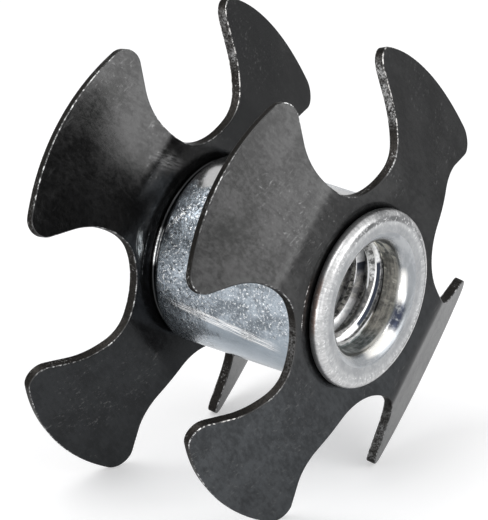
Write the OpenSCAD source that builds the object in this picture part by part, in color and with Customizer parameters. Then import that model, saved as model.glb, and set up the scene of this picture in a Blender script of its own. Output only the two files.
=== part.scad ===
// Star nut for a bicycle steerer tube: two spring steel star washers riveted on a threaded body.
// The nut lies on its side, as it comes to rest on a table, on two petals of each star.
// The thread's axis is +X, which points out of the end that goes into the tube first.
// The origin is at the middle of the thread.

/* [Threaded body] */
// Diameter of the barrel between the two stars
barrel_d = 10.1; // [9.9:0.05:11.5]
// Length of the barrel, which keeps the stars apart
barrel_l = 9.95; // [8:0.05:14]
// Radius of the rounded edge at each end of the barrel
barrel_edge_r = 0.25; // [0.1:0.05:0.3]
// Diameter of the narrow collar that each star is seated against
collar_d = 9.55; // [9.4:0.05:9.8]
// Length of the collar
collar_l = 0.25; // [0.15:0.05:0.35]
// Diameter at the bottom of the groove between the collar and the barrel
groove_d = 9.2; // [8.8:0.05:9.3]
// Width of the groove
groove_w = 0.2; // [0.1:0.05:0.3]
// Diameter of the neck that each star is threaded on
neck_d = 7.6; // [7.2:0.1:8.2]
// Outer diameter of the rolled flange that holds each star
flange_d = 9.7; // [9.2:0.05:11]
// Thickness of the rolled flange
flange_t = 0.7; // [0.6:0.05:1]
// Radius of the roll on the flange's outer edge
flange_edge_r = 0.4; // [0.1:0.05:0.5]

/* [Thread] */
// Bore of the M6 thread, at the crests
thread_bore_d = 5; // [4.5:0.1:5.4]
// Length of the threaded stretch
thread_l = 8.6; // [6:0.1:9.6]
// Diameter of the plain entry at each end
entry_d = 6; // [5.8:0.1:6.4]
// Radius of the roll that leads from the flange's face into the entry
mouth_r = 0.85; // [0.3:0.05:0.9]
// Depth of the cone between the plain entry and the thread
lead_in_l = 0.4; // [0.2:0.1:0.6]

/* [Star washers] */
// Diameter of the flat star before its petals are bent
blank_d = 26.5; // [25.5:0.1:29]
// Thickness of the spring steel sheet
sheet_t = 0.5; // [0.4:0.05:0.7]
// Radial clearance of each star's hole round its neck
hole_gap = 0.05; // [0.02:0.01:0.1]
// Distance from the axis to the centre of each notch between two petals
notch_offset = 9.85; // [9.7:0.05:10.2]
// Radius of the round notches
notch_r = 3.9; // [3.5:0.05:4]
// Angle from a petal's middle line to each of its corners
corner_angle = 21.8; // [20:0.1:24]
// Radius of the petals' rounded corners
corner_r = 0.95; // [0.6:0.05:1.2]

/* [Bend] */
// Angle that each petal is bent back
bend_angle = 25; // [10:1:35]
// Inside radius of the bend
bend_r = 4; // [2:0.1:4.5]
// Distance from the axis to the middle of the bend, along the flat sheet
bend_offset = 6.75; // [6.4:0.05:7.2]
// Turn of one star against the other about the axis
star_turn = 1; // [0:0.5:10]

/* [Pressed seat] */
// Width of the shallow seat round each star's hole, from the flange's edge outwards
seat_w = 0.5; // [0.3:0.05:0.9]
// Depth of the seat in the star's front face
seat_depth = 0.05; // [0.02:0.01:0.1]

/* [Hidden] */
$fn = 96;

petal_count = 4;
petal_pitch = 360 / petal_count;
// Turn that sets the petals on the diagonals, so that the nut rests on two of each star
rest_turn = petal_pitch / 2;

barrel_r = barrel_d / 2;
neck_r = neck_d / 2;
flange_r = flange_d / 2;
thread_r = thread_bore_d / 2;
entry_r = entry_d / 2;
blank_r = blank_d / 2;
collar_r = collar_d / 2;
groove_r = groove_d / 2;
seat_r = flange_r + seat_w;
// Heights of the barrel's shoulder, the star's two faces and the flange's face
star_back_z = barrel_l / 2;
groove_z = star_back_z - collar_l - groove_w;
flange_z = star_back_z + sheet_t - seat_depth;
end_z = flange_z + flange_t;

// Extra length by which a cutter passes through what it cuts
cut_over = 1;

// Corner circle's centre, in the plane of the flat sheet with one petal along +X
corner_centre = (blank_r - corner_r) * [cos(corner_angle), sin(corner_angle)];
notch_centre = notch_offset * [cos(petal_pitch / 2), sin(petal_pitch / 2)];
// The petal's side runs straight where it touches both the notch and the corner
side_span = corner_centre - notch_centre;
side_angle = atan2(side_span.y, side_span.x) - acos((notch_r + corner_r) / norm(side_span));
side_normal = [cos(side_angle), sin(side_angle)];
side_from = notch_centre + notch_r * side_normal;
side_to = corner_centre - corner_r * side_normal;

// Stretch of sheet that the bend takes up, at the middle of its thickness
bend_l = (bend_r + sheet_t / 2) * bend_angle * PI / 180;
bend_from = bend_offset - bend_l / 2;
bend_to = bend_offset + bend_l / 2;

// What a roll takes off a square corner: all that lies outside a quarter of a circle
module roll_cutter(radius) {
    difference() {
        square(radius + cut_over);
        circle(radius);
    }
}

// Half of the body's outer cross-section at one end, from the axis X = 0 outwards
module outer_profile() {
    difference() {
        square([barrel_r, groove_z]);
        translate([barrel_r - barrel_edge_r, groove_z - barrel_edge_r])
            roll_cutter(barrel_edge_r);
    }
    square([groove_r, star_back_z]);
    translate([0, star_back_z - collar_l])
        square([collar_r, collar_l]);
    square([neck_r, end_z]);
    translate([0, flange_z])
        difference() {
            square([flange_r, flange_t]);
            translate([flange_r - flange_edge_r, flange_t - flange_edge_r])
                roll_cutter(flange_edge_r);
        }
}

// Half of the bore's cross-section at one end: thread, cone, plain entry and rolled mouth
module bore_profile() {
    polygon([
        [0, 0],
        [thread_r, 0],
        [thread_r, thread_l / 2],
        [entry_r, thread_l / 2 + lead_in_l],
        [entry_r, end_z + cut_over],
        [0, end_z + cut_over]
    ]);
    translate([entry_r + mouth_r, end_z - mouth_r])
        mirror([1, 0])
            roll_cutter(mouth_r);
}

// Barrel, collars, necks and rolled flanges, turned as one piece about the Z axis
module body_of_revolution() {
    rotate_extrude()
        for (side = [0, 1])
            mirror([0, side])
                difference() {
                    outer_profile();
                    bore_profile();
                }
}

// Outline of one petal in the flat sheet, from the axis to its outer edge
module petal_outline() {
    for (side = [0, 1])
        mirror([0, side])
            difference() {
                union() {
                    intersection() {
                        circle(blank_r);
                        polygon([
                            [0, 0],
                            [blank_d, 0],
                            blank_d * [cos(corner_angle), sin(corner_angle)]
                        ]);
                    }
                    translate(corner_centre) circle(corner_r);
                    polygon([[0, 0], corner_centre, side_to, side_from, notch_centre]);
                }
                translate(notch_centre) circle(notch_r);
            }
}

// Flat middle of the star, up to where the bends begin
module hub_outline() {
    intersection() {
        for (k = [0 : petal_count - 1])
            rotate(k * petal_pitch) petal_outline();
        square(2 * bend_from, center = true);
    }
}

// Moves a piece that lies on the bend's axis to where the bend begins
module at_bend(turn) {
    translate([bend_from, 0, -bend_r])
        rotate([0, turn, 0])
            children();
}

// The bent stretch of one petal, narrowed by the two notches beside it
module petal_bend() {
    difference() {
        at_bend(0)
            rotate([90, 0, 0])
                rotate([0, 0, 90 - bend_angle])
                    rotate_extrude(angle = bend_angle)
                        translate([bend_r, -notch_centre.y])
                            square([sheet_t, 2 * notch_centre.y]);
        at_bend(bend_angle / 2)
            for (side = [-1, 1])
                translate([notch_centre.x - bend_offset, side * notch_centre.y, bend_r - cut_over])
                    cylinder(r = notch_r, h = sheet_t + 2 * cut_over);
    }
}

// The flat outer part of one petal, tilted back by the bend
module petal_blade() {
    at_bend(bend_angle)
        translate([-bend_to, 0, bend_r])
            linear_extrude(sheet_t)
                intersection() {
                    petal_outline();
                    translate([bend_to, -blank_r]) square([blank_r, blank_d]);
                }
}

// One star washer, with its back face at Z = 0 and its petals bent back towards -Z
module star() {
    difference() {
        union() {
            linear_extrude(sheet_t) hub_outline();
            for (k = [0 : petal_count - 1])
                rotate(k * petal_pitch) {
                    petal_bend();
                    petal_blade();
                }
        }
        translate([0, 0, -cut_over])
            cylinder(r = neck_r + hole_gap, h = sheet_t + 2 * cut_over);
        translate([0, 0, sheet_t - seat_depth])
            cylinder(r = seat_r, h = cut_over);
    }
}

// Lays a piece that was made about the Z axis along +X
module lie_down() {
    rotate([0, 90, 0]) children();
}

module threaded_body() {
    color([0.72, 0.73, 0.74]) lie_down() body_of_revolution();
}

module lower_star() {
    color([0.17, 0.17, 0.18])
        lie_down()
            translate([0, 0, star_back_z])
                rotate(rest_turn + star_turn / 2)
                    star();
}

module upper_star() {
    color([0.14, 0.14, 0.15])
        lie_down()
            translate([0, 0, -flange_z])
                rotate(rest_turn - star_turn / 2)
                    star();
}

threaded_body();
lower_star();
upper_star();
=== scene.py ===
"""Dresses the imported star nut: turned body with its thread, two spring steel stars, floor, lamps and camera."""
from __future__ import annotations

import logging
import math
from dataclasses import dataclass
from enum import Enum
from functools import cached_property, reduce
from typing import Iterable

import bmesh
import bpy
from mathutils import Matrix, Vector

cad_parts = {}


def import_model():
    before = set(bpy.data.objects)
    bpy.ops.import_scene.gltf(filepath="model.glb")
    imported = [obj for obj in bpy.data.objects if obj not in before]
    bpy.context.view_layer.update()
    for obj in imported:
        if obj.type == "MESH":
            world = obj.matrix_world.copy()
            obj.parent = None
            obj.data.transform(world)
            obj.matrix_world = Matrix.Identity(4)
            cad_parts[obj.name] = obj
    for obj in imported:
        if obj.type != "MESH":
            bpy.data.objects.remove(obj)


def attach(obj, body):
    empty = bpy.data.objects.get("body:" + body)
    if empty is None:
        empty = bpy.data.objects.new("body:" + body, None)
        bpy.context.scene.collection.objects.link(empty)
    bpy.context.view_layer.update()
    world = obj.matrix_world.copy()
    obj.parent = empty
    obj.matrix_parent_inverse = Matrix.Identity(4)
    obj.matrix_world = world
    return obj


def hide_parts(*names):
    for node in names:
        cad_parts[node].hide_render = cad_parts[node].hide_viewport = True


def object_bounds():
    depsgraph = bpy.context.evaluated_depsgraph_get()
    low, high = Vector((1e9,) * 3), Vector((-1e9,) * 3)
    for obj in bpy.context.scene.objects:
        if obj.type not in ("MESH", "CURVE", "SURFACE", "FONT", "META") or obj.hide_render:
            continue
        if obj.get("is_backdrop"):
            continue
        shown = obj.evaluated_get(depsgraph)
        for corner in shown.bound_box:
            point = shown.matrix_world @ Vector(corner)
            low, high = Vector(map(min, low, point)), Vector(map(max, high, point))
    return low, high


LOG = logging.getLogger("star_nut")
MM = 0.001
ROOT_BODY = "root"

Socket = bpy.types.NodeSocket
Colour = tuple[float, float, float, float]
Pair = tuple[float, float]
Triple = tuple[float, float, float] | Vector
Material = bpy.types.Material
BMesh = bmesh.types.BMesh
BMVert = bmesh.types.BMVert


class Finish(Enum):
    """The record's material slots."""

    ZINC = "zinc_plated_steel"
    BLACK = "black_spring_steel"


class Skin(Enum):
    """The parts of a star's surface, in the order of its materials."""

    FACE = 0
    EDGE = 1
    CUT = 2


class Zone(Enum):
    """The parts of the body's surface, in the order of its materials."""

    BARREL = 0
    FLANGE = 1
    BORE = 2


def grey(level: float, tint: float = 0.0) -> Colour:
    """A neutral colour of a linear brightness. The tint is the share by which blue is raised and red lowered."""
    return (level * (1 - tint), level, level * (1 + tint), 1.0)


# ---- node helpers


@dataclass(frozen=True)
class Spot:
    """A ball with a soft border, in millimetres, and how light or how strong it is."""

    middle: Vector
    reach: float
    level: float = 1.0


class Nodes:
    """A short way to write a node tree. Its places and lengths are in millimetres."""

    def __init__(self, owner: Material | bpy.types.World) -> None:
        """Starts an empty tree.

        Args:
            owner: The material or the world that it is for.
        """
        owner.use_nodes = True
        self.owner = owner
        self.tree = owner.node_tree
        self.tree.nodes.clear()

    def add(self, kind: str, inputs: dict[str | int, object], **settings: object) -> bpy.types.bpy_prop_collection:
        """Adds a node.

        Args:
            kind: The node's type name, without ShaderNode.
            inputs: Values or sockets, each under its input's name or number.
            **settings: Attributes of the node.

        Returns:
            The node's outputs.
        """
        node = self.tree.nodes.new("ShaderNode" + kind)
        for key, value in settings.items():
            setattr(node, key, value)
        for key, value in inputs.items():
            if isinstance(value, Socket):
                self.tree.links.new(value, node.inputs[key])
            else:
                node.inputs[key].default_value = value
        return node.outputs

    def math(self, operation: str, *values: object) -> Socket:
        """Works out a number from one other, or from more, two by two from the left.

        Args:
            operation: The Math node's operation.
            *values: Numbers or sockets.

        Returns:
            The result's socket.
        """
        result, *others = values
        for known in [(other,) for other in others] or [()]:
            result = self.add("Math", dict(enumerate((result, *known))), operation=operation)[0]
        return result

    def times(self, *values: object) -> Socket:
        """Multiplies numbers or sockets."""
        return self.math("MULTIPLY", *values)

    def most(self, *values: object) -> Socket:
        """Picks the largest of some numbers or sockets."""
        return self.math("MAXIMUM", *values)

    def apart(self, a: object, b: object) -> Socket:
        """How far two numbers or sockets differ."""
        return self.math("ABSOLUTE", self.math("SUBTRACT", a, b))

    def between(self, a: object, b: object, share: object = 0.5) -> Socket:
        """The number that lies a share of the way from one to another."""
        return self.math("ADD", a, self.times(self.math("SUBTRACT", b, a), share))

    def split(self, vector: Socket) -> tuple[Socket, ...]:
        """Splits a vector into three numbers."""
        return tuple(self.add("SeparateXYZ", {0: vector}))

    @cached_property
    def place(self) -> Socket:
        """Object coordinates in millimetres."""
        metres = self.add("TexCoord", {})["Object"]
        return self.add("VectorMath", {"Vector": metres, "Scale": 1 / MM}, operation="SCALE")["Vector"]

    @cached_property
    def parts(self) -> tuple[Socket, ...]:
        """The place's X, Y and Z."""
        return self.split(self.place)

    @cached_property
    def radius(self) -> Socket:
        """Distance from the thread's axis, X."""
        return self.math("SQRT", self.math("ADD", *(self.times(part, part) for part in self.parts[1:])))

    @cached_property
    def angle(self) -> Socket:
        """Angle about the thread's axis, in radians from +Y towards +Z."""
        return self.math("ARCTAN2", self.parts[2], self.parts[1])

    def facing(self, middle: float) -> Socket:
        """Cosine of the angle about the axis, counted from a middle in degrees."""
        return self.math("COSINE", self.math("SUBTRACT", self.angle, math.radians(middle)))

    def near(self, middle: float, reach: float, soft: float) -> Socket:
        """Picks out directions about the axis: their middle, half their range and its soft border, in degrees."""
        borders = (math.cos(math.radians(degrees)) for degrees in (reach + soft, reach))
        return self.ramp(self.facing(middle), *borders)

    def unrolled(self, radius: float) -> Socket:
        """Lays a cylinder about X out flat, with its seam at the back: place along the axis, then round it."""
        turned = self.math("ARCTAN2", *(self.times(part, -1.0) for part in reversed(self.parts[1:])))
        return self.vector(self.parts[0], self.times(turned, radius))

    def vector(self, x: object, y: object) -> Socket:
        """Joins two numbers or sockets to a vector with a Z of 0."""
        return self.add("CombineXYZ", {0: x, 1: y})[0]

    def mapped(self, vector: Socket, size: Triple, turn: Triple, middle: Triple = (0, 0, 0)) -> Socket:
        """Sees space from a box with a size, a turn about each axis in degrees and a middle."""
        sides = {"Location": middle, "Rotation": [math.radians(part) for part in turn], "Scale": size}
        return self.add("Mapping", {"Vector": vector} | sides, vector_type="TEXTURE")["Vector"]

    def noise(
        self, scale: float | Triple, detail: float, roughness: float, distortion: float = 0.0,
        turn: Triple = (0, 0, 0), source: Socket | None = None,
    ) -> Socket:
        """Adds a fractal noise.

        Args:
            scale: Cells per millimetre, or cells per millimetre along each axis of a stretched pattern.
            detail: Number of octaves.
            roughness: Weight of the finer octaves.
            distortion: How far the pattern is bent.
            turn: Turn of a stretched pattern about each axis, in degrees.
            source: The vector that it is read at, or None for the place.

        Returns:
            The noise's value, about 0.5 on average.
        """
        vector = source or self.place
        if isinstance(scale, tuple):
            vector, scale = self.mapped(vector, tuple(1 / cells for cells in scale), turn), 1.0
        grain = {"Detail": detail, "Roughness": roughness, "Distortion": distortion}
        return self.add("TexNoise", {"Vector": vector, "Scale": scale} | grain)["Fac"]

    def ramp(self, value: Socket, low: float, high: float, out_low: float = 0.0, out_high: float = 1.0) -> Socket:
        """Maps the range from low to high smoothly to the one from out_low to out_high, and clamps it."""
        inputs = {"Value": value, "From Min": low, "From Max": high, "To Min": out_low, "To Max": out_high}
        return self.add("MapRange", inputs, interpolation_type="SMOOTHSTEP", clamp=True)["Result"]

    def band(self, value: Socket, low: float, high: float, soft: float) -> Socket:
        """Picks out a range of a value, with soft borders outside it."""
        return self.times(self.ramp(value, low - soft, low), self.ramp(value, high + soft, high))

    def ball(self, spot: Spot) -> Socket:
        """Picks out a ball: 1 near its centre and 0 outside it."""
        away = self.add("VectorMath", {0: self.place, 1: spot.middle}, operation="DISTANCE")["Value"]
        return self.ramp(away, spot.reach, spot.reach * 0.55)

    def mix(self, factor: Socket, a: object, b: object) -> Socket:
        """Mixes two colours or sockets: a factor of 0 gives the first and 1 the second."""
        return self.add("Mix", {"Factor": factor, "A": a, "B": b}, data_type="RGBA")["Result"]

    def coats(self, colour: object, *layers: tuple[Socket, object]) -> Socket:
        """Lays layers over a colour. Each is how strongly it covers what is under it, and its colour."""
        return reduce(lambda under, layer: self.mix(layer[0], under, layer[1]), layers, colour)

    def bump(self, height: Socket, strength: float, step: float) -> Socket:
        """Turns a height of up to one step into a bent normal."""
        return self.add("Bump", {"Height": height, "Strength": strength, "Distance": step * MM})["Normal"]

    def surface(self, **inputs: object) -> Material:
        """Closes the material with a Principled shader.

        Args:
            **inputs: Socket names, with _ for a space, and their values.

        Returns:
            The finished material.
        """
        named = {key.replace("_", " "): value for key, value in inputs.items()}
        self.add("OutputMaterial", {"Surface": self.add("BsdfPrincipled", named)[0]})
        return self.owner


# ---- finishes


@dataclass(frozen=True)
class PaintedHighlight:
    """A painted highlight in streaks on the oxide, in millimetres.

    Its reach is along X, across the streaks and along them. The streaks are turned about X, in degrees from +Z.
    """

    middle: Vector
    reach: Vector
    turn: float
    strength: float
    colour: Colour


@dataclass(frozen=True)
class BlackOxide:
    """Glossy black oxide on the rolled sheet: faint clouds, a fine grain and short rub marks, with painted light
    on the lower parts, painted shade at the back, at the upper star's foot and round the hub, and painted
    highlights on the upper star.
    """

    tone: float = 0.054
    cloud_depth: float = 0.28
    painted_low_light_gain: float = 1.12
    painted_low_light_tint: float = 0.06
    shade_tone: float = 0.02
    shade_tint: float = 0.04
    rubbed_gain: float = 2.4
    rubbed_share: float = 0.8
    ring_tone: float = 0.6
    ring_radius: float = 5.5
    ring_middle: float = 166.0
    roughness: Pair = (0.16, 0.24)
    relief: float = 0.012
    far_petal_shade: Spot = Spot(Vector((-6.5, 5.0, 7.4)), 7.0, 0.85)
    # Painted highlights: one on the upper star's bend beside the barrel, and one painted reflection of the barrel
    # on the upper star.
    painted_highlights: tuple[PaintedHighlight, ...] = (
        PaintedHighlight(Vector((-4.95, -5.72, 2.05)), Vector((1.0, 0.4, 1.05)), 4, 1.0, (0.95, 0.94, 0.9, 1.0)),
        PaintedHighlight(Vector((-5.1, -3.2, 5.9)), Vector((1.5, 0.7, 1.5)), 62, 0.3, grey(0.4)),
    )

    def material(self) -> Material:
        """Builds the finish.

        Returns:
            The material.
        """
        n = Nodes(bpy.data.materials.new("black_oxide"))
        cloud = n.noise(0.42, 3.0, 0.55)
        grain = n.noise((4.2, 4.2, 1.7), 3.0, 0.7, turn=(40, 10, 0))
        tone = n.between(cloud, grain)
        clouded = n.ramp(tone, 0.38, 0.62)
        shades = [self.tone * (1 - self.cloud_depth), self.tone * (1 + self.cloud_depth)]
        high = n.mix(clouded, *(grey(shade) for shade in shades))
        # Painted light: a lighter, bluer copy of the oxide, a painted reflection of the floor on the lower parts.
        low = n.mix(clouded, *(grey(shade * self.painted_low_light_gain, self.painted_low_light_tint) for shade in shades))
        colour = n.coats(
            high,
            # Painted light on the lower parts.
            (n.ramp(n.parts[2], 3.0, -5.0), low),
            # Painted shade: the back petals, the upper star's foot and the hub are painted darker.
            (self.painted_shade(n), grey(self.shade_tone, self.shade_tint)),
            (self.rub_marks(n), grey(self.tone * self.rubbed_gain)),
            (self.pressed_ring(n), grey(self.ring_tone)),
            # Painted highlights in streaks on the upper star.
            *((self.painted_highlight(n, highlight), highlight.colour) for highlight in self.painted_highlights),
        )
        rough = n.ramp(tone, 0.3, 0.7, *self.roughness)
        normal = n.bump(n.math("ADD", grain, n.times(cloud, 2.0)), 0.25, self.relief)
        return n.surface(Base_Color=colour, Roughness=rough, Normal=normal, Metallic=0.9, Specular_Tint=grey(0.5))

    def painted_shade(self, n: Nodes) -> Socket:
        """Where painted shade darkens the oxide: on the petals at the back, at the upper star's foot, round the
        hub and on one far petal.

        Args:
            n: The material's nodes.

        Returns:
            The painted shade's strength, from 0 to 1.
        """
        x, y, z = n.parts
        back = n.ramp(y, -7.0, 8.0, 0.0, 0.62)
        foot = n.times(n.ramp(x, 0.0, -4.0), n.ramp(z, 0.5, -3.5, 0.0, 0.65))
        hub = n.ramp(n.radius, 8.2, 5.6, 0.0, 0.36)
        return n.most(back, foot, hub, n.times(n.ball(self.far_petal_shade), self.far_petal_shade.level))

    def rub_marks(self, n: Nodes) -> Socket:
        """Short light rubs in two directions, gathered in a few places.

        Args:
            n: The material's nodes.

        Returns:
            The marks' strength, from 0 to 1.
        """
        across = n.noise((0.7, 5.2, 5.2), 3.0, 0.7, turn=(0, 0, 24))
        along = n.noise((5.2, 0.9, 5.2), 3.0, 0.7, turn=(30, 0, 0))
        marks = n.most(n.ramp(across, 0.6, 0.72), n.ramp(along, 0.6, 0.72))
        places = n.ramp(n.noise(0.33, 2.0, 0.5, 0.4), 0.44, 0.6)
        return n.times(marks, places, self.rubbed_share)

    def pressed_ring(self, n: Nodes) -> Socket:
        """The bright dotted line that the riveting tool left round the flange.

        Args:
            n: The material's nodes.

        Returns:
            The line's strength, from 0 to 1.
        """
        line = n.ramp(n.apart(n.radius, self.ring_radius), 0.075, 0.03)
        dots = n.ramp(n.noise(4.2, 3.0, 0.7), 0.47, 0.56)
        return n.times(line, dots, n.ramp(n.facing(self.ring_middle), 0.96, 0.985))

    def painted_highlight(self, n: Nodes, highlight: PaintedHighlight) -> Socket:
        """Paints a highlight in streaks.

        Args:
            n: The material's nodes.
            highlight: The place of the painted highlight.

        Returns:
            The painted highlight's strength, from 0 to 1.
        """
        seen = n.mapped(n.place, highlight.reach, (highlight.turn, 0, 0), highlight.middle)
        away = n.add("VectorMath", {0: seen}, operation="LENGTH")["Value"]
        streaks = n.noise((1.2, 6.5, 0.9), 4.0, 0.7, turn=(highlight.turn, 0, 0))
        return n.times(n.ramp(away, 1.0, 0.35), n.ramp(streaks, 0.4, 0.58), highlight.strength)


@dataclass(frozen=True)
class CutEdge:
    """The sheared edge of the sheet: dark and brownish, with broken, glinting fracture zones."""

    dark: Colour = grey(0.013, -0.04)
    light: Colour = grey(0.03, -0.09)
    glint: float = 0.36
    roughness: float = 0.34
    relief: float = 0.03
    fractures: tuple[Spot, ...] = (
        Spot(Vector((4.15, 3.1, 10.1)), 2.2, 0.42),
        Spot(Vector((-5.94, 3.4, 10.3)), 2.1, 0.26),
        Spot(Vector((5.2, -6.6, -0.8)), 1.9, 0.12),
        Spot(Vector((4.0, 2.4, -9.8)), 3.2, 0.16),
    )

    def material(self) -> Material:
        """Builds the finish.

        Returns:
            The material.
        """
        n = Nodes(bpy.data.materials.new("sheared_edge"))
        speck = n.noise(9.0, 4.0, 0.75)
        glint = n.times(n.ramp(speck, 0.56, 0.68), n.ramp(n.noise(0.45, 2.0, 0.5), 0.5, 0.66))
        broken = n.times(n.ramp(speck, 0.4, 0.62), n.ramp(n.noise(1.9, 3.0, 0.6), 0.4, 0.6, 0.25, 1.0))
        colour = n.coats(
            n.mix(n.ramp(speck, 0.3, 0.7), self.dark, self.light),
            (glint, grey(self.glint)),
            *((n.times(broken, n.ball(spot)), grey(spot.level)) for spot in self.fractures),
        )
        return n.surface(
            Base_Color=colour,
            Roughness=self.roughness,
            Metallic=1.0,
            Normal=n.bump(speck, 0.6, self.relief),
            Specular_Tint=grey(0.5),
        )


@dataclass(frozen=True)
class WornEdge:
    """The rim between face and cut, rubbed bright in short dashes and rubbed through in a few places."""

    dark: float = 0.05
    bright: float = 0.6
    steel: Colour = (0.6, 0.585, 0.57, 1.0)
    roughness: float = 0.3
    rubbed_through: tuple[Spot, ...] = (
        Spot(Vector((4.05, -10.44, -3.54)), 1.7),
        Spot(Vector((4.1, 3.7, 10.2)), 3.4),
        Spot(Vector((-5.94, 3.6, 9.5)), 3.4),
    )

    def material(self) -> Material:
        """Builds the finish.

        Returns:
            The material.
        """
        n = Nodes(bpy.data.materials.new("worn_edge"))
        dashes = n.noise(4.4, 3.0, 0.7)
        worn = n.times(n.ramp(dashes, 0.47, 0.62), n.ramp(n.noise(0.3, 2.0, 0.5), 0.42, 0.6))
        through = n.ramp(dashes, 0.44, 0.58)
        colour = n.coats(
            grey(self.dark),
            (worn, grey(self.bright)),
            *((n.times(through, n.ball(spot)), self.steel) for spot in self.rubbed_through),
        )
        return n.surface(Base_Color=colour, Roughness=self.roughness, Metallic=1.0, Specular_Tint=grey(0.6))


@dataclass(frozen=True)
class ZincBarrel:
    """Thin bright zinc on the barrel: smooth and bluish below, crumpled and speckled at the front."""

    radius: float = 5.05
    dark: float = 0.2
    light: float = 0.43
    smooth: float = 0.385
    blue: float = 0.13
    fleck: float = 0.045
    glint: float = 0.95
    roughness: Pair = (0.17, 0.27)
    relief: float = 0.045
    collar_start: float = 4.7
    collar_shade_tone: float = 0.035
    bead_highlight_middle: float = 161.0
    fold_middle: float = -3.4
    fold_slope: float = 0.55
    fold_place: float = 5.835
    line_slope: float = 0.135
    line_place: float = 1.56

    def material(self) -> Material:
        """Builds the finish.

        Returns:
            The material.
        """
        n = Nodes(bpy.data.materials.new("zinc_barrel"))
        flat = n.unrolled(self.radius)
        x, _, z = n.parts
        crumpled = self.crumpled(n)
        slow = n.noise(0.8, 3.0, 0.6, 0.3, source=flat)
        tone = n.between(slow, n.noise((0.5, 1.6, 1.0), 4.0, 0.65, 0.2, (0, 0, -8), flat))
        even = n.ramp(tone, 0.38, 0.62)
        even = n.mix(even, grey(self.smooth * 0.93, self.blue), grey(self.smooth * 1.07, self.blue - 0.01))
        uneven = n.mix(n.ramp(tone, 0.4, 0.6), grey(self.dark, self.blue), grey(self.light, self.blue - 0.02))
        marks = n.times(crumpled, n.ramp(n.noise(1.1, 3.0, 0.65, 0.3, source=flat), 0.38, 0.58, 0.5, 1.0))
        pits = n.noise(4.2, 6.0, 0.72, source=flat)
        flecks = n.times(n.ramp(pits, 0.485, 0.42), n.ramp(x, -3.0, 0.5, 1.0, 0.4), marks)
        glints = n.ramp(n.noise((6.5, 6.5, 6.5), 5.0, 0.75, turn=(0, 0, 40), source=flat), 0.545, 0.615)
        bright = grey(self.glint)
        # Painted highlight: a bright piece of the collar's bead on one side.
        bead = n.times(n.ramp(n.facing(self.bead_highlight_middle), 0.972, 0.99), n.ramp(glints, 0.0, 0.5, 0.55, 1.0))
        colour = n.coats(
            even,
            # Painted light: the top of the barrel is painted lighter.
            (n.ramp(z, 2.6, 3.6), grey(self.smooth * 1.25)),
            (crumpled, uneven),
            (flecks, grey(self.fleck, 0.14)),
            (n.times(glints, n.math("ADD", marks, 0.08)), grey(self.glint, 0.01)),
            # Painted shade and painted highlight along the fold near the upper star.
            (n.times(self.fold(n, flat, 0.22), n.ramp(pits, 0.56, 0.46)), grey(self.fleck, 0.1)),
            (n.times(self.fold(n, flat, 0.0), n.ramp(pits, 0.42, 0.52)), bright),
            # A light streak along the barrel, partly wear and partly a painted reflection.
            (self.streak_wear_and_reflection(n, flat), bright),
            # Painted shade: the collar is painted dark, apart from the bead's painted highlight.
            (
                n.ramp(n.math("ABSOLUTE", x), self.collar_start - 0.04, self.collar_start),
                n.mix(bead, grey(self.collar_shade_tone, 0.03), bright),
            ),
        )
        height = n.math("ADD", n.times(pits, marks), n.times(slow, 0.3))
        return n.surface(
            Base_Color=colour,
            Roughness=n.ramp(crumpled, 0.0, 1.0, *self.roughness),
            Metallic=1.0,
            Normal=n.bump(height, 0.6, self.relief),
        )

    def crumpled(self, n: Nodes) -> Socket:
        """Where the plating is crumpled: at the front, low down near the upper star, and at the back.

        Args:
            n: The material's nodes.

        Returns:
            Its strength, from 0 to 1.
        """
        ragged = n.times(n.math("SUBTRACT", n.noise(0.7, 3.0, 0.6), 0.5), 0.9)
        front = n.ramp(n.math("ADD", n.facing(155), ragged), 0.64, 0.84)
        low = n.times(n.ramp(n.parts[0], -0.8, -2.4), n.ramp(n.facing(200), 0.72, 0.9), 0.85)
        return n.most(front, low, n.times(n.ramp(n.facing(-5), 0.05, 0.35), 0.8))

    def fold(self, n: Nodes, flat: Socket, aside: float) -> Socket:
        """A line along a short ragged fold in the plating near the upper star, where its painted shade and painted
        highlight go.

        Args:
            n: The material's nodes.
            flat: The barrel's surface laid out flat.
            aside: How far to the side of the fold's crest.

        Returns:
            How near each place is to that line, from 0 to 1.
        """
        along, around, _ = n.split(flat)
        ragged = n.times(n.math("SUBTRACT", n.noise(2.6, 4.0, 0.7, source=flat), 0.5), 1.6)
        off = n.math("ADD", n.times(around, self.fold_slope), along, self.fold_place - aside, ragged)
        line = n.ramp(n.math("ABSOLUTE", off), 0.09, 0.03)
        return n.times(line, n.ramp(n.apart(around, self.fold_middle), 1.2, 0.7))

    def streak_wear_and_reflection(self, n: Nodes, flat: Socket) -> Socket:
        """A long light streak that runs almost along the barrel, below its front: partly wear and partly a painted
        reflection.

        Args:
            n: The material's nodes.
            flat: The barrel's surface laid out flat.

        Returns:
            The scuff's strength, from 0 to 1.
        """
        along, around, _ = n.split(flat)
        off = n.apart(around, n.math("ADD", n.times(along, self.line_slope), self.line_place))
        width = n.ramp(along, -4.0, 0.5, 0.25, 0.42)
        inside = n.ramp(n.math("DIVIDE", off, width), 1.0, 0.5)
        streaks = n.noise((0.6, 16.0, 1.0), 3.0, 0.7, turn=(0, 0, 7.7), source=flat)
        ends = n.times(n.ramp(along, -4.2, -2.6), n.ramp(along, 3.8, 2.4))
        return n.times(inside, ends, n.ramp(streaks, 0.42, 0.58))


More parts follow.
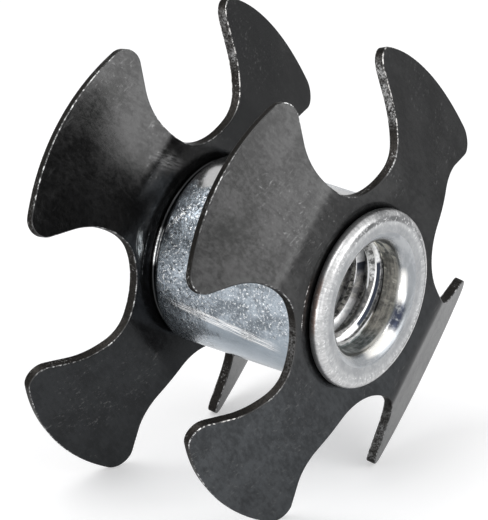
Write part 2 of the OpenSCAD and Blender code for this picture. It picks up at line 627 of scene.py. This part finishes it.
@dataclass(frozen=True)
class ZincFlange:
    """Zinc on the rolled flanges: a smooth inner face, fine radial scratches outside it and a burnished roll."""

    inner: float = 0.32
    outer: float = 0.4
    rim: float = 0.47
    shade: float = 0.11
    sparkle: float = 0.85
    rust: Colour = (0.3, 0.17, 0.12, 1.0)
    roughness: Pair = (0.42, 0.32)
    relief: float = 0.015
    scratches: float = 24.0

    def material(self) -> Material:
        """Builds the finish.

        Returns:
            The material.
        """
        n = Nodes(bpy.data.materials.new("zinc_flange"))
        radial = n.vector(n.times(n.angle, self.scratches), n.times(n.radius, 0.9))
        hatch = n.noise(1.0, 3.0, 0.7, source=radial)
        cloud = n.noise(1.1, 7.0, 0.75, 0.3)
        scratched = n.ramp(n.radius, 3.95, 4.2)
        tone = n.between(cloud, hatch, n.times(scratched, 0.6))
        clouded = n.ramp(tone, 0.34, 0.66)
        colour = n.coats(
            n.mix(clouded, grey(self.inner * 0.88, 0.03), grey(self.inner * 1.12, 0.02)),
            (scratched, n.mix(clouded, grey(self.outer * 0.8, 0.02), grey(self.outer * 1.2, 0.01))),
            (
                n.ramp(n.radius, 4.4, 4.55),
                n.mix(n.ramp(tone, 0.36, 0.6), grey(self.rim * 0.8, 0.01), grey(self.rim * 1.2)),
            ),
            *self.marks(n, cloud),
            (
                n.times(n.ramp(n.noise(6.5, 3.0, 0.7), 0.57, 0.64), n.ramp(n.radius, 4.0, 4.3, 0.1, 0.6)),
                grey(self.sparkle),
            ),
        )
        rough = n.ramp(tone, 0.3, 0.7, *self.roughness)
        return n.surface(Base_Color=colour, Roughness=rough, Metallic=1.0, Normal=n.bump(tone, 0.4, self.relief))

    def marks(self, n: Nodes, cloud: Socket) -> tuple[tuple[Socket, Colour], ...]:
        """The roll's marks: a broken painted dark reflection on top, a thin painted shade line on the right, a
        rusty stain and painted shade on the upper right.

        Args:
            n: The material's nodes.
            cloud: The noise that breaks them up.

        Returns:
            How strongly each mark covers, and its colour.
        """
        # Painted shade and painted reflection on the roll; the rusty stain is the zinc's own colour.
        dark = grey(self.shade, 0.02)
        top = n.ramp(n.facing(82), 0.72, 0.93)
        painted_dark_arc = n.times(n.band(n.radius, 4.34, 4.5, 0.12), top, n.ramp(cloud, 0.38, 0.56, 0.45, 1.0))
        line = n.times(n.ramp(n.apart(n.radius, 4.46), 0.06, 0.02), n.ramp(n.facing(-15), 0.3, 0.8), 0.6)
        stain = n.times(n.ramp(n.radius, 4.825, 4.845), n.ramp(n.facing(166), 0.93, 0.98), 0.6)
        painted_dull_shade = n.times(n.ramp(n.facing(52), 0.62, 0.9), n.ramp(n.radius, 4.2, 4.5))
        painted_dull_shade = n.times(painted_dull_shade, n.ramp(cloud, 0.6, 0.4, 0.3, 0.85))
        return (painted_dark_arc, dark), (line, dark), (stain, self.rust), (painted_dull_shade, grey(self.shade * 1.4, 0.02))


@dataclass(frozen=True)
class ZincBore:
    """Zinc in the mouth, the entry and on the thread: bright flanks and rubbed crests, with painted highlights,
    painted reflections and painted shade.
    """

    crest_radius: float = 2.5
    root_radius: float = 2.97
    ridge_from: float = 3.81
    ridge_to: float = 4.17
    entry_start: float = 4.48
    mouth_start: float = 5.35
    roughness: Pair = (0.42, 0.25)
    relief: float = 0.01
    shade_navy: Colour = (0.04, 0.047, 0.065, 1.0)
    dark_reflection_blue: Colour = (0.05, 0.058, 0.088, 1.0)
    highlight_cream: Colour = (1.0, 0.98, 0.94, 1.0)
    pale_stroke: Colour = (0.95, 0.93, 0.85, 1.0)

    def material(self) -> Material:
        """Builds the finish.

        Returns:
            The material.
        """
        n = Nodes(bpy.data.materials.new("zinc_bore"))
        along = n.math("ABSOLUTE", n.parts[0])
        mottle = n.noise(3.6, 4.0, 0.75, 0.4)
        smear = n.noise((2.6, 0.5, 0.5), 4.0, 0.65, 0.4)
        step = n.band(along, self.entry_start - 0.03, self.entry_start + 0.02, 0.015)
        rolled = n.mix(n.ramp(smear, 0.4, 0.62), grey(0.28, 0.05), grey(0.4, 0.03))
        # Painted highlights in the mouth, above and below its right side.
        upper = n.times(n.near(-8, 5, 18), n.ramp(along, 5.3, 5.5), n.ramp(along, 5.92, 5.72))
        lower = n.times(n.near(-72, 9, 18), n.ramp(along, 5.32, 5.42), n.ramp(along, 6.03, 5.88))
        # Painted reflection: a dark blue patch in the mouth.
        painted_dark_reflection = n.times(n.near(-38, 5, 13), n.ramp(along, 5.42, 5.66), n.ramp(along, 6.04, 5.9))
        colour = n.coats(
            self.thread(n, mottle),
            (n.ramp(along, self.entry_start - 0.05, self.entry_start), self.entry_wall(n)),
            # Painted shade: a dark line at the entry's step on one side.
            (n.times(step, n.near(-12, 26, 12)), grey(0.03)),
            (n.ramp(along, self.mouth_start, self.mouth_start + 0.2), rolled),
            (n.most(upper, lower), self.highlight_cream),
            (n.times(painted_dark_reflection, n.ramp(mottle, 0.7, 0.48)), self.dark_reflection_blue),
        )
        return n.surface(
            Base_Color=colour,
            Roughness=n.ramp(along, self.mouth_start, self.mouth_start + 0.2, *self.roughness),
            Metallic=1.0,
            Normal=n.bump(n.math("ADD", smear, n.times(mottle, 0.5)), 0.25, self.relief),
        )

    def thread(self, n: Nodes, mottle: Socket) -> Socket:
        """Colours the thread: rubbed crests, bright flanks, darker roots and the ridge that it starts with; the
        lip past each crest, the ridge and the bands beside it get painted highlight on one side of the bore and
        painted shade on the other.

        Args:
            n: The material's nodes.
            mottle: The noise that makes the colours uneven.

        Returns:
            The colour's socket.
        """
        crest, ridge = self.crest_radius, self.ridge_to
        unwound = n.math("SUBTRACT", n.parts[0], n.times(n.angle, 0.5 / math.pi))
        uneven = n.ramp(mottle, 0.4, 0.6)
        light = n.mix(n.ramp(mottle, 0.35, 0.62), grey(0.7, 0.02), grey(0.95))
        worn = n.mix(uneven, grey(0.3), (0.6, 0.585, 0.56, 1.0))
        shaded_side = n.mix(uneven, grey(0.1), (0.26, 0.255, 0.245, 1.0))
        patch_top = n.ramp(n.angle, math.radians(9.5), math.radians(8.0))
        painted_shade_patch = n.times(patch_top, n.ramp(n.angle, math.radians(-12), math.radians(1)), 0.97)
        # Painted shade: a dark navy patch on the flank at one side.
        flank = n.coats(light, (n.near(-20, 11, 8), worn), (painted_shade_patch, self.shade_navy))
        # Painted light and shade: the slope is lit on one side and shaded on the other.
        slope = n.mix(n.near(50, 52, 10), shaded_side, n.mix(n.ramp(mottle, 0.42, 0.58), grey(0.16), grey(0.85)))
        past_crest = n.ramp(n.radius, crest + 0.004, crest + 0.012)
        painted_lip_light = n.times(past_crest, n.ramp(n.radius, crest + 0.06, crest + 0.04))
        return n.coats(
            n.mix(n.ramp(mottle, 0.44, 0.6), (0.12, 0.118, 0.115, 1.0), (0.75, 0.73, 0.69, 1.0)),
            (past_crest, flank),
            (n.band(unwound, self.ridge_from, ridge, 0.01), slope),
            # Painted shade: a navy band beside the ridge.
            (n.times(n.band(unwound, ridge + 0.03, ridge + 0.2, 0.02), n.near(-24, 36, 4)), self.shade_navy),
            # Painted highlight and painted shade on the lip past each crest.
            (painted_lip_light, n.mix(n.near(60, 75, 6), grey(0.12), grey(0.95))),
            # Painted highlight: a bright line along the ridge.
            (n.times(n.band(unwound, ridge - 0.03, ridge + 0.02, 0.01), n.near(-20, 60, 10)), grey(0.98)),
            (
                n.ramp(n.radius, self.root_radius - 0.08, self.root_radius - 0.02),
                n.mix(uneven, grey(0.1), grey(0.5)),
            ),
        )

    def entry_wall(self, n: Nodes) -> Socket:
        """Colours the plain entry: turned lines, with a painted brownish reflection at one side and a painted
        greenish one elsewhere, and pale strokes.

        Args:
            n: The material's nodes.

        Returns:
            The colour's socket.
        """
        lines = n.between(n.noise((9.0, 0.26, 0.26), 4.0, 0.75, 0.2), n.noise(1.8, 5.0, 0.75), 0.65)
        brown = n.mix(n.ramp(lines, 0.38, 0.62), (0.24, 0.235, 0.215, 1.0), (0.75, 0.72, 0.65, 1.0))
        green = n.mix(n.ramp(lines, 0.4, 0.6), (0.13, 0.15, 0.15, 1.0), (0.45, 0.475, 0.47, 1.0))
        strokes = n.ramp(n.noise((1.5, 4.2, 0.7), 3.0, 0.65, turn=(38, 0, 0)), 0.52, 0.64)
        pale = n.times(strokes, n.near(28, 44, 20))
        # Painted reflections: brownish on one side of the entry and greenish elsewhere.
        return n.coats(green, (n.near(-18, 34, 22), brown), (pale, self.pale_stroke))


# ---- mesh helpers


def in_scene(name: str, data: bpy.types.ID) -> bpy.types.Object:
    """Puts a new object in the scene.

    Args:
        name: Its name.
        data: Its mesh, lamp or camera.

    Returns:
        The object.
    """
    made = bpy.data.objects.new(name, data)
    bpy.context.scene.collection.objects.link(made)
    return made


def to_object(bm: BMesh, name: str, materials: list[Material], sharp: float) -> bpy.types.Object:
    """Turns a mesh made in millimetres about Z into a piece that lies along X, in metres.

    Args:
        bm: The mesh, which is used up.
        name: The piece's name.
        materials: Its material slots.
        sharp: Edges that turn by more than this many degrees stay sharp.

    Returns:
        The piece.
    """
    lie_down = Matrix.Rotation(math.pi / 2, 4, "Y") @ Matrix.Scale(MM, 4)
    bmesh.ops.transform(bm, matrix=lie_down, verts=bm.verts)
    bmesh.ops.recalc_face_normals(bm, faces=bm.faces)
    for face in bm.faces:
        face.smooth = True
    mesh = bpy.data.meshes.new(name)
    bm.to_mesh(mesh)
    bm.free()
    mesh.set_sharp_from_angle(angle=math.radians(sharp))
    for material in materials:
        mesh.materials.append(material)
    return in_scene(name, mesh)


def spin(bm: BMesh, geom: list, degrees: float, steps: int, centre: Vector = Vector(), **options: object) -> list:
    """Turns vertices and edges anticlockwise about an axis along Z, and gives what the last step made."""
    swing = {"cent": centre, "axis": (0, 0, 1), "angle": math.radians(degrees), "steps": steps}
    return bmesh.ops.spin(bm, geom=geom, **swing, **options)["geom_last"]


def arc(bm: BMesh, start: BMVert, centre: Vector, degrees: float, steps: int) -> BMVert:
    """Draws an arc in the XY plane, anticlockwise from a vertex and about a centre, and gives its last vertex."""
    last = spin(bm, [start], degrees, steps, centre, use_duplicate=False)
    return next(item for item in last if isinstance(item, BMVert))


def line_of(bm: BMesh, points: Iterable[Pair]) -> list[object]:
    """Draws a line in the XZ plane from the radius and height of each point, and gives its vertices and edges."""
    line = [bm.verts.new((radius, 0, height)) for radius, height in points]
    return line + [bm.edges.new(pair) for pair in zip(line, line[1:])]


def degrees_of(vector: Vector) -> float:
    """Direction of a vector in the XY plane, in degrees."""
    return math.degrees(math.atan2(vector.y, vector.x))


def ray(degrees: float) -> Vector:
    """A vector of length 1 in the XY plane, at an angle from +X."""
    return Vector((math.cos(math.radians(degrees)), math.sin(math.radians(degrees)), 0))


def turned(radius: float, height: float, size: float, start: float, stop: float, steps: int) -> list[Pair]:
    """Points of an arc in a turned piece's cross-section. Its angles are in degrees, from outwards towards up."""
    angles = [math.radians(start + (stop - start) * k / steps) for k in range(steps + 1)]
    return [(radius + size * math.cos(a), height + size * math.sin(a)) for a in angles]


# ---- stars


@dataclass
class StarWasher:
    """One spring steel star: stamped flat, then bent back along four lines. Sizes are in millimetres."""

    name: str
    front: float
    turn: float
    finishes: list[Material]
    petals: int = 4
    rest_turn: float = 45.0
    blank_radius: float = 13.25
    sheet: float = 0.5
    hole_radius: float = 3.85
    notch_offset: float = 9.85
    notch_radius: float = 3.9
    corner_angle: float = 21.8
    corner_radius: float = 0.95
    bend_angle: float = 25.0
    bend_radius: float = 4.0
    bend_offset: float = 6.75
    rim: float = 0.05
    seat_radius: float = 5.6
    seat_floor: float = 4.7
    seat_depth: float = 0.05
    seat_dish: float = 0.0
    notch_steps: int = 44
    corner_steps: int = 20
    edge_steps: int = 14
    hole_steps: int = 96
    bend_steps: int = 14
    seat_steps: int = 8
    rim_steps: int = 3
    sharp: float = 9.0

    @property
    def bend_length(self) -> float:
        """Stretch of sheet that a bend takes up."""
        return (self.bend_radius + self.sheet / 2) * math.radians(self.bend_angle)

    @property
    def bend_start(self) -> float:
        """Distance from the axis at which a bend begins."""
        return self.bend_offset - self.bend_length / 2

    def half_petal(self, bm: BMesh) -> None:
        """Draws the outline from a notch's bottom to the middle of a petal that points along +X.

        Args:
            bm: The mesh that gets the edges.
        """
        notch = self.notch_offset * ray(180 / self.petals)
        corner = (self.blank_radius - self.corner_radius) * ray(self.corner_angle)
        span = corner - notch
        lean = math.degrees(math.acos((self.notch_radius + self.corner_radius) / span.length))
        across = ray(degrees_of(span) - lean)
        bottom = bm.verts.new(notch - self.notch_radius * notch.normalized())
        swing = (degrees_of(across) - degrees_of(-notch)) % 360
        side_start = arc(bm, bottom, notch, swing, self.notch_steps)
        side_end = bm.verts.new(corner - self.corner_radius * across)
        bm.edges.new((side_start, side_end))
        swing = (degrees_of(-across) - self.corner_angle) % 360
        tip = arc(bm, side_end, corner, -swing, self.corner_steps)
        arc(bm, tip, Vector(), -self.corner_angle, self.edge_steps)

    def blank(self) -> BMesh:
        """Stamps the flat star, with its front face at Z = 0 and cut across where it will bend.

        Returns:
            The flat face's mesh.
        """
        bm = bmesh.new()
        self.half_petal(bm)
        bmesh.ops.mirror(bm, geom=bm.verts[:] + bm.edges[:], axis="Y", merge_dist=1e-4)
        pitch = 360 / self.petals
        spin(bm, bm.verts[:] + bm.edges[:], 360 - pitch, self.petals - 1, use_duplicate=True)
        bmesh.ops.remove_doubles(bm, verts=bm.verts, dist=1e-3)
        bmesh.ops.contextual_create(bm, geom=bm.edges)
        for k in range(self.petals):
            along = ray(k * pitch)
            for step in range(self.bend_steps + 1):
                place = along * (self.bend_start + self.bend_length * step / self.bend_steps)
                everything = bm.verts[:] + bm.edges[:] + bm.faces[:]
                bmesh.ops.bisect_plane(bm, geom=everything, plane_co=place, plane_no=along, dist=1e-5)
        self.open_hub(bm)
        return bm

    def open_hub(self, bm: BMesh) -> None:
        """Makes the hole and the pressed seat round it in the flat hub.

        Args:
            bm: The blank.
        """
        hub = min(bm.faces, key=lambda face: face.calc_center_median().length)
        rim = list(hub.edges)
        bmesh.ops.delete(bm, geom=[hub], context="FACES_ONLY")
        floor = self.seat_depth + self.seat_dish
        profile = [(self.hole_radius, floor)]
        for step in range(self.seat_steps + 1):
            share = step / self.seat_steps
            slope = self.seat_floor + (self.seat_radius - self.seat_floor) * share
            profile.append((slope, floor * (1 - share) ** 2))
        rings = []
        for radius, depth in profile:
            place = Matrix.Translation((0, 0, -depth))
            made = bmesh.ops.create_circle(bm, radius=radius, segments=self.hole_steps, matrix=place)
            rings.append(list({edge for vertex in made["verts"] for edge in vertex.link_edges}))
        for inner, outer in zip(rings, rings[1:]):
            bmesh.ops.bridge_loops(bm, edges=inner + outer)
        bmesh.ops.triangle_fill(bm, use_beauty=True, edges=rim + rings[-1])

    def thicken(self, bm: BMesh) -> None:
        """Gives the blank its thickness, rounds its rims and sorts its faces by skin.

        Args:
            bm: The blank.
        """
        bmesh.ops.recalc_face_normals(bm, faces=bm.faces)
        if sum(face.normal.z for face in bm.faces) < 0:
            bmesh.ops.reverse_faces(bm, faces=bm.faces)
        grown = bmesh.ops.extrude_face_region(bm, geom=list(bm.faces), use_keep_orig=True)
        for item in grown["geom"]:
            if isinstance(item, BMVert):
                item.co.z = -self.sheet
        bmesh.ops.recalc_face_normals(bm, faces=bm.faces)
        for face in bm.faces:
            face.material_index = Skin.CUT.value if abs(face.normal.z) < 0.5 else Skin.FACE.value
        rims = [
            edge
            for edge in bm.edges
            if {face.material_index for face in edge.link_faces} == {Skin.CUT.value, Skin.FACE.value}
            and edge.verts[0].co.to_2d().length > self.hole_radius + self.sheet
        ]
        done = bmesh.ops.bevel(
            bm, geom=rims, offset=self.rim, offset_type="OFFSET", affect="EDGES",
            segments=self.rim_steps, profile=0.5, material=-1, clamp_overlap=True,
        )
        for face in done["faces"]:
            face.material_index = Skin.EDGE.value

    def bend(self, bm: BMesh) -> None:
        """Bends every petal back about its line, keeping the sheet's thickness.

        Args:
            bm: The flat star.
        """
        pitch = 2 * math.pi / self.petals
        full = math.radians(self.bend_angle)
        middle = self.bend_radius + self.sheet / 2
        for vertex in bm.verts:
            k = round(math.atan2(vertex.co.y, vertex.co.x) / pitch)
            flat = Matrix.Rotation(-k * pitch, 4, "Z") @ vertex.co
            past = flat.x - self.bend_start
            if past <= 0:
                continue
            angle = min(past / middle, full)
            beyond = max(past - self.bend_length, 0.0)
            height = self.bend_radius + self.sheet + flat.z
            flat.x = self.bend_start + height * math.sin(angle) + beyond * math.cos(full)
            flat.z = -self.sheet - self.bend_radius + height * math.cos(angle) - beyond * math.sin(full)
            vertex.co = Matrix.Rotation(k * pitch, 4, "Z") @ flat

    def build(self) -> bpy.types.Object:
        """Makes the star in its place.

        Returns:
            The piece.
        """
        bm = self.blank()
        self.thicken(bm)
        self.bend(bm)
        turn = Matrix.Rotation(math.radians(self.rest_turn + self.turn), 4, "Z")
        bmesh.ops.transform(bm, matrix=Matrix.Translation((0, 0, self.front)) @ turn, verts=bm.verts)
        return to_object(bm, self.name, self.finishes, self.sharp)


# ---- body


@dataclass
class ThreadedBody:
    """The turned body: barrel, necks, rolled flanges and an M6 thread. Sizes are in millimetres."""

    finishes: list[Material]
    name: str = "threaded_body_dressed"
    barrel_radius: float = 5.05
    barrel_length: float = 9.95
    barrel_roll: float = 0.25
    collar_radius: float = 4.775
    collar_length: float = 0.25
    collar_bevel: float = 0.12
    groove_radius: float = 4.6
    groove_width: float = 0.2
    neck_radius: float = 3.8
    length: float = 12.25
    sheet: float = 0.5
    lower_lift: float = 0.15
    upper_lift: float = 0.05
    flange_radius: float = 4.85
    flange_roll: float = 0.4
    flange_bevel: float = 0.3
    entry_radius: float = 3.0
    mouth_roll: float = 0.85
    crest_radius: float = 2.5
    root_radius: float = 2.97
    thread_end: float = 3.8
    lead_in: float = 0.68
    cone_slope: float = 0.588
    pitch: float = 1.0
    thread_turn: float = 0.66
    crest_half: float = 0.125
    lip_half: float = 0.145
    root_half: float = 0.07
    steps: int = 144
    flank_steps: int = 7
    mouth_steps: int = 14
    roll_steps: int = 12
    shoulder_steps: int = 8
    bead_steps: int = 6
    bevel_steps: int = 4
    sharp: float = 30.0

    @property
    def seat(self) -> float:
        """Distance of each star's near face from the middle."""
        return self.barrel_length / 2

    def wall(self, z: float) -> float:
        """Radius of the lead-in cone that the thread runs out in, or 0 where there is none."""
        past = abs(z) - self.thread_end
        return self.crest_radius + self.cone_slope * past if past > 0 else 0.0

    def thread_depth(self, phase: float) -> float:
        """Radius of the thread's surface at a place within one pitch, with the crest at 0."""
        rise = (abs(phase - round(phase)) - self.crest_half) / (0.5 - self.root_half - self.crest_half)
        return self.crest_radius + (self.root_radius - self.crest_radius) * min(max(rise, 0.0), 1.0)

    def phases(self) -> list[float]:
        """Places of the profile's lines within one pitch, from the crest's middle on.

        Returns:
            The places, from 0 to 1.
        """
        steps, width = self.flank_steps, 0.5 - self.root_half - self.lip_half
        flank = [self.lip_half + width * k / steps for k in range(steps + 1)]
        half = [self.crest_half / 2, self.crest_half, *flank]
        return [0.0, *half, 0.5, *(1 - phase for phase in reversed(half))]

    def thread(self, bm: BMesh) -> None:
        """Cuts the thread: one line of its profile, turned once round while it climbs one pitch.

        Args:
            bm: The mesh that gets the faces.
        """
        end = self.thread_end + self.lead_in
        turns = math.ceil(end / self.pitch) + 2
        places = [self.thread_turn + k + phase for k in range(-turns, turns) for phase in self.phases()]
        line = line_of(bm, [(self.crest_radius, place * self.pitch) for place in places])
        spin(bm, line, 360, self.steps, dvec=(0, 0, self.pitch / self.steps))
        for vertex in bm.verts:
            angle = math.atan2(vertex.co.y, vertex.co.x)
            z = vertex.co.z
            phase = z / self.pitch - angle / (2 * math.pi) - self.thread_turn
            radius = max(self.thread_depth(phase), self.wall(z))
            if abs(z) >= end:
                z, radius = math.copysign(end, z), self.entry_radius
            vertex.co = (radius * math.cos(angle), radius * math.sin(angle), z)
        bmesh.ops.remove_doubles(bm, verts=bm.verts, dist=1e-4)
        bmesh.ops.dissolve_degenerate(bm, dist=1e-5, edges=bm.edges)

    def end_profile(self, lift: float) -> list[Pair]:
        """The cross-section of one half, from the entry round the flange and the neck to the barrel's middle.

        Args:
            lift: How far the star's sheet is pressed outwards from the collar's end.

        Returns:
            Radius and height of each point.
        """
        seat, top = self.seat, self.length / 2
        low = seat + self.sheet - lift
        groove = seat - self.collar_length
        shoulder = groove - self.groove_width
        mouth, roll, bevel = self.mouth_roll, self.flange_roll, self.flange_bevel
        bead, barrel, steps = self.collar_bevel, self.barrel_roll, self.bevel_steps
        return [
            (self.entry_radius, self.thread_end + self.lead_in),
            *turned(self.entry_radius + mouth, top - mouth, mouth, 180, 90, self.mouth_steps),
            *turned(self.flange_radius - roll, top - roll, roll, 90, 0, self.roll_steps),
            *turned(self.flange_radius - bevel, low + bevel, bevel, 0, -90, steps),
            (self.neck_radius, low),
            (self.neck_radius, seat),
            *turned(self.collar_radius - bead, seat - bead, bead, 90, 0, steps),
            *turned(self.collar_radius - bead, groove + bead, bead, 0, -90, self.bead_steps),
            (self.groove_radius, groove),
            (self.groove_radius, shoulder),
            *turned(self.barrel_radius - barrel, shoulder - barrel, barrel, 90, 0, self.shoulder_steps),
            (self.barrel_radius, seat / 2),
            (self.barrel_radius, 0),
        ]

    def shell(self, bm: BMesh) -> None:
        """Turns the outside, both flanges and both entries.

        Args:
            bm: The mesh that gets the faces.
        """
        for side, lift in ((1, self.lower_lift), (-1, self.upper_lift)):
            line = line_of(bm, [(radius, side * z) for radius, z in self.end_profile(lift)])
            spin(bm, line, 360, self.steps, use_merge=True)

    def zone(self, face: bmesh.types.BMFace) -> Zone:
        """Tells which part of the surface a face belongs to.

        Args:
            face: The face.

        Returns:
            The part.
        """
        middle = face.calc_center_median()
        radius = middle.to_2d().length
        if radius > self.neck_radius + 0.05 and abs(middle.z) < self.seat:
            return Zone.BARREL
        return Zone.FLANGE if radius > self.entry_radius + self.mouth_roll * 0.8 else Zone.BORE

    def build(self) -> bpy.types.Object:
        """Makes the body in its place.

        Returns:
            The piece.
        """
        bm = bmesh.new()
        self.thread(bm)
        self.shell(bm)
        bmesh.ops.remove_doubles(bm, verts=bm.verts, dist=1e-3)
        bmesh.ops.recalc_face_normals(bm, faces=bm.faces)
        for face in bm.faces:
            face.material_index = self.zone(face).value
        return to_object(bm, self.name, self.finishes, self.sharp)


# ---- stage


@dataclass(frozen=True)
class SoftBox:
    """A rectangular lamp. Sizes are in millimetres and the radiance is in watts per steradian and square metre."""

    name: str
    place: Vector
    facing: Vector
    width: float
    height: float
    radiance: float


@dataclass(frozen=True)
class Studio:
    """Floor, world, lamps and camera. The camera's distances are in millimetres and the floor's size in metres."""

    boxes: tuple[SoftBox, ...] = (
        SoftBox("key_at_the_thread_end", Vector((62, 26, 24)), Vector((-1, 0, 0)), 40, 50, 2.4),
        SoftBox("low_side_box", Vector((58, -38, 4)), Vector((-58, 38, 0)), 20, 24, 2.5),
        SoftBox("low_front_box", Vector((16, -96, -3)), Vector((-16, 96, 3)), 34, 20, 5.5),
        SoftBox("high_side_box", Vector((73, -11, 67)), Vector((-73, 11, -67)), 40, 40, 1.6),
        SoftBox("top_box", Vector((-70, -176, 352)), Vector((70, 176, -352)), 300, 300, 2.83),
    )
    azimuth: float = 36.592
    elevation: float = 24.381
    roll: float = -1.1645
    pixels_per_mm: float = 19.0923
    distance: float = 493.48
    aside: float = -1.928
    lift: float = 0.4964
    frame_height: int = 520
    sensor: float = 36.0
    clip: Pair = (0.01, 50.0)
    world_colour: Colour = (0.55, 0.55, 0.56, 1.0)
    floor_size: float = 1.5
    floor_tone: float = 0.72
    floor_glow: float = 0.4
    floor_roughness: float = 0.9

    def axes(self) -> tuple[Vector, Vector, Vector]:
        """The camera's right, up and back directions.

        Returns:
            Three unit vectors.
        """
        a, e, r = (math.radians(degrees) for degrees in (self.azimuth, self.elevation, self.roll))
        right = Vector((math.cos(a), math.sin(a), 0))
        back = Vector((math.sin(a) * math.cos(e), -math.cos(a) * math.cos(e), math.sin(e)))
        up = back.cross(right)
        return right * math.cos(r) - up * math.sin(r), right * math.sin(r) + up * math.cos(r), back

    def camera(self) -> None:
        """Sets up the camera."""
        right, up, back = self.axes()
        data = bpy.data.cameras.new("camera")
        data.sensor_width = self.sensor
        data.lens = self.sensor * self.pixels_per_mm * self.distance / self.frame_height
        data.clip_start, data.clip_end = self.clip
        camera = in_scene("camera", data)
        spot = (back * self.distance + right * self.aside + up * self.lift) * MM
        camera.matrix_world = Matrix.Translation(spot) @ Matrix((right, up, back)).transposed().to_4x4()
        bpy.context.scene.camera = camera

    def lamp(self, box: SoftBox) -> None:
        """Hangs a soft box.

        Args:
            box: The soft box.
        """
        data = bpy.data.lights.new(box.name, "AREA")
        data.shape = "RECTANGLE"
        data.size, data.size_y = box.width * MM, box.height * MM
        data.energy = box.radiance * math.pi * data.size * data.size_y
        turn = (-box.facing).to_track_quat("Z", "Y").to_matrix().to_4x4()
        in_scene(box.name, data).matrix_world = Matrix.Translation(box.place * MM) @ turn

    def world(self) -> None:
        """Makes a soft grey world that camera, gloss and glass see as white."""
        n = Nodes(bpy.data.worlds.new("studio"))
        rays = n.add("LightPath", {})
        seen = n.most(*(rays[f"Is {kind} Ray"] for kind in ("Camera", "Glossy", "Transmission")))
        soft, white = (n.add("Background", {"Color": colour})[0] for colour in (self.world_colour, grey(1.0)))
        n.add("OutputWorld", {"Surface": n.add("MixShader", {0: seen, 1: soft, 2: white})[0]})
        bpy.context.scene.world = n.owner

    def floor(self, level: float) -> None:
        """Lays a white floor that keeps the nut's shadow.

        Args:
            level: Its height in metres.
        """
        bm = bmesh.new()
        place = Matrix.Translation((0, 0, level))
        bmesh.ops.create_grid(bm, x_segments=1, y_segments=1, size=self.floor_size, matrix=place)
        mesh = bpy.data.meshes.new("floor")
        bm.to_mesh(mesh)
        bm.free()
        n = Nodes(bpy.data.materials.new("white_floor"))
        white = n.surface(
            Base_Color=grey(self.floor_tone),
            Roughness=self.floor_roughness,
            Emission_Color=grey(1.0),
            Emission_Strength=self.floor_glow,
        )
        mesh.materials.append(white)
        in_scene("floor", mesh)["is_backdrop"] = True

    def build(self, level: float) -> None:
        """Sets up everything that isn't the nut.

        Args:
            level: The floor's height in metres.
        """
        bpy.context.scene.view_settings.view_transform = "Standard"
        self.world()
        self.floor(level)
        for box in self.boxes:
            self.lamp(box)
        self.camera()


def main() -> None:
    """Builds the pieces in order."""
    logging.basicConfig(level=logging.INFO)
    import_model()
    solid_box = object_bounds()
    zinc = [finish.material() for finish in (ZincBarrel(), ZincFlange(), ZincBore())]
    black = [finish.material() for finish in (BlackOxide(), WornEdge(), CutEdge())]
    body = ThreadedBody(zinc)
    lower = StarWasher("lower_star_dressed", body.seat + body.sheet, 0.5, black, seat_dish=0.12)
    upper = StarWasher("upper_star_dressed", -body.seat, -0.5, black, seat_radius=4.95, seat_floor=4.79)
    upper.front += upper.seat_depth
    for maker, node, finish in (
        (body, "threaded_body", Finish.ZINC),
        (lower, "lower_star", Finish.BLACK),
        (upper, "upper_star", Finish.BLACK),
    ):
        piece = maker.build()
        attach(piece, ROOT_BODY)
        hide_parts(node)
        LOG.info("%s: %d faces", piece.name, len(piece.data.polygons))
    Studio().build(solid_box[0][2])


if __name__ == "__main__":
    main()
